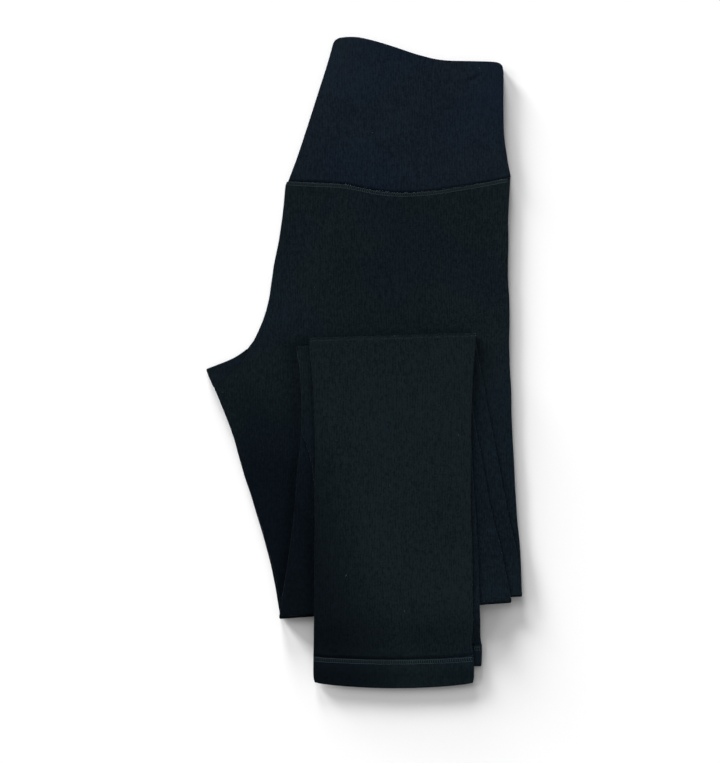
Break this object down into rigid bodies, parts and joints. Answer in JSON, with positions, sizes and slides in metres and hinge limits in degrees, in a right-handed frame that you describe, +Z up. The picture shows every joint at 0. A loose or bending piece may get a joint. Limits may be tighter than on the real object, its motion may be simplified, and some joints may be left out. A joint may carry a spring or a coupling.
{
  "type": "folded leggings",
  "caption": "High-rise leggings of dark double knit with a wide doubled waistband, folded lengthwise and then across the legs, lying flat.",
  "frame": {"origin": "on the surface that the folded garment lies on, under the middle of its outline", "axes": "+X across the folded garment, +Y towards the waist, +Z up from the surface"},
  "size_m": [0.2559, 0.5274, 0.0147],
  "materials": {
    "leg_knit": "matt black double knit with a faint green-blue cast",
    "waistband_knit": "matt black double knit with a faint blue cast, doubled",
    "gusset_knit": "matt black double knit",
    "hem_knit": "matt black double knit, turned up and coverstitched in black thread"
  },
  "bodies": {
    "root": {"right_leg": "leg_knit", "left_leg": "leg_knit", "right_waistband": "waistband_knit", "left_waistband": "waistband_knit", "right_gusset": "gusset_knit", "left_gusset": "gusset_knit", "right_hem": "hem_knit", "left_hem": "hem_knit"}
  },
  "joints": []
}
